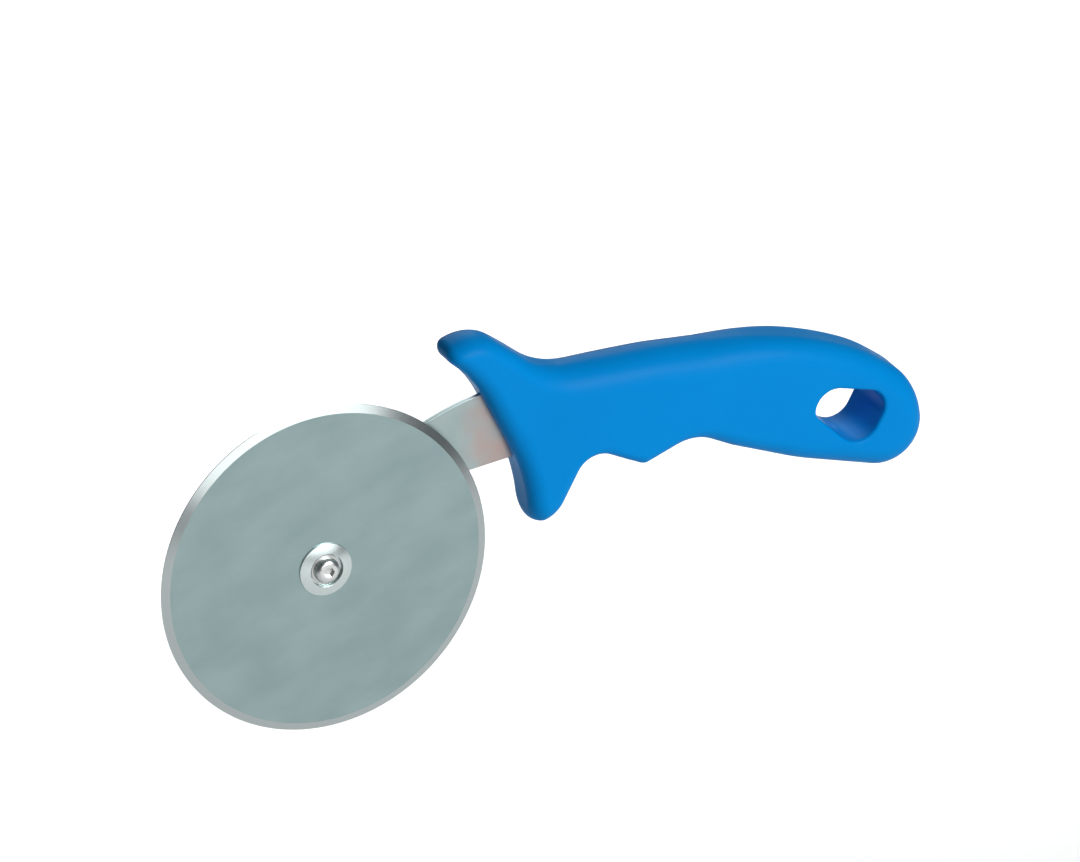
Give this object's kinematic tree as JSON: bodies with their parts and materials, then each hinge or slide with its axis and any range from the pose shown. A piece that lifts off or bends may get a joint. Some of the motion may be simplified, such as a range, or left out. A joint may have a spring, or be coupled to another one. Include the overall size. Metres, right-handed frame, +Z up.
{
  "type": "pastry cutter wheel",
  "caption": "Hand-held cutter: a round steel blade that spins on a curved flat arm, with a moulded handle that has finger guards and a hanging hole.",
  "frame": {"origin": "centre of the hand grip, between the handle's two side faces", "axes": "+X from the wheel towards the end of the handle, +Y along the axle away from the blade's side, +Z up"},
  "size_m": [0.2378, 0.02, 0.1129],
  "materials": {
    "handle_plastic": "satin moulded polypropylene, blue",
    "arm_steel": "rolled stainless steel, lightly brushed along the arm",
    "blade_steel": "satin stainless steel with a ground and polished bevel",
    "hub_steel": "turned stainless steel",
    "fastener_steel": "bright stainless steel",
    "nylon": "natural nylon"
  },
  "bodies": {
    "grip": {"handle": "handle_plastic", "arm": "arm_steel", "bearing_sleeve": "hub_steel", "front_washer": "fastener_steel", "thrust_washer": "nylon", "axle_screw": "fastener_steel", "rear_washer": "fastener_steel", "lock_nut": "fastener_steel", "lock_nut_insert": "nylon"},
    "wheel": {"wheel_blade": "blade_steel", "hub_bush": "hub_steel", "hub_ring": "hub_steel"}
  },
  "joints": [
    {"name": "wheel_spin", "type": "hinge", "parent": "grip", "child": "wheel", "pos_m": [-0.118, -0.00365, -0.034], "axis": [0, 1, 0], "continuous": true}
  ]
}
